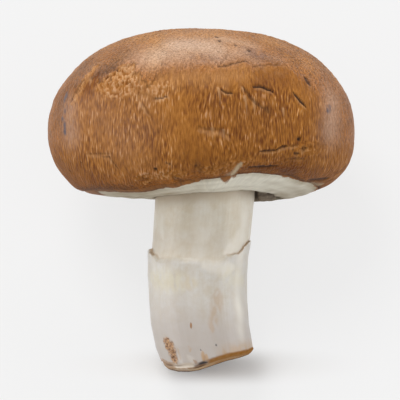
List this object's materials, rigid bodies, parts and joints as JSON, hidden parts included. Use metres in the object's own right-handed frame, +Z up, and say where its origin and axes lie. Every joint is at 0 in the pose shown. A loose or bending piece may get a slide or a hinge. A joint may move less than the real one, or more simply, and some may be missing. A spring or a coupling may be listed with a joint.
{
  "type": "cremini mushroom",
  "caption": "Brown-capped cultivated mushroom with a short ringed stem, a pale veil torn open on one side and gills behind it, lying on its side.",
  "frame": {"origin": "on the plane that the mushroom lies on, under the middle of its bounding box", "axes": "+Z up from that plane, +Y along the mushroom from the foot of the stem to the cap, +X to the right of someone who looks along +Y"},
  "size_m": [0.05, 0.057, 0.0444],
  "materials": {
    "cap_skin": "brown mushroom skin, satin, with short radial fibres",
    "stem_flesh": "cream-white mushroom flesh, smooth and a little waxy",
    "veil_flesh": "cream mushroom flesh, matt",
    "gill": "dark brown gills, matt"
  },
  "bodies": {
    "root": {"cap": "cap_skin", "stem": "stem_flesh", "veil": "veil_flesh", "gills": "gill"}
  },
  "joints": []
}
